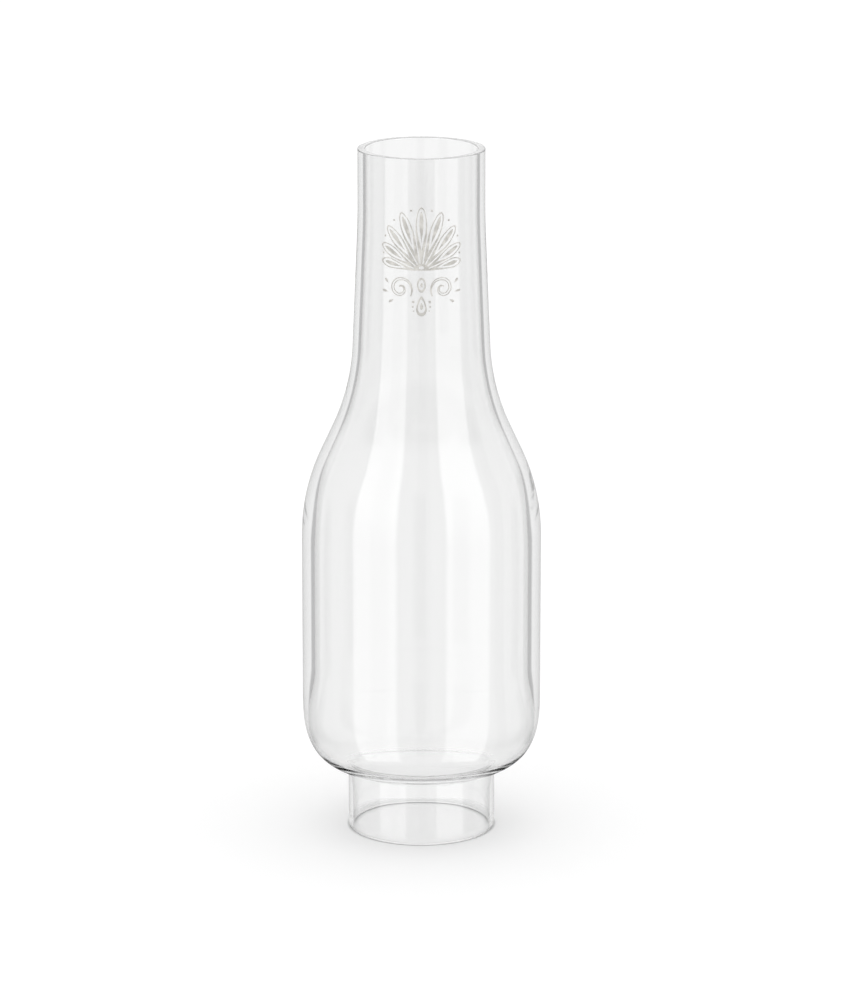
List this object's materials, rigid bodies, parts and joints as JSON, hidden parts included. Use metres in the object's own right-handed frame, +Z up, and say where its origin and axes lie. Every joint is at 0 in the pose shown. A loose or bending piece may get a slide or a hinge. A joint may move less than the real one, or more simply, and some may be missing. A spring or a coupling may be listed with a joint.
{
  "type": "lamp chimney",
  "caption": "Clear glass lamp chimney: short straight collar, rounded body, soft shoulder and long tapering neck, open right through, with a frosted ornament on the neck.",
  "frame": {"origin": "on the chimney's axis, in the plane that its foot stands on", "axes": "+Z up along the chimney's axis, from its collar to its rim; the ornament faces -Y"},
  "size_m": [0.1092, 0.1092, 0.3175],
  "materials": {
    "clear_glass": "clear, smooth blown glass with flat-cut, lightly rounded rims",
    "frosted_enamel": "matt, warm grey-white enamel fired on to the glass"
  },
  "bodies": {
    "root": {"chimney_glass": "clear_glass", "ornament_fan": "frosted_enamel", "ornament_scroll_left": "frosted_enamel", "ornament_scroll_right": "frosted_enamel", "ornament_knot": "frosted_enamel", "ornament_drop": "frosted_enamel"}
  },
  "joints": []
}
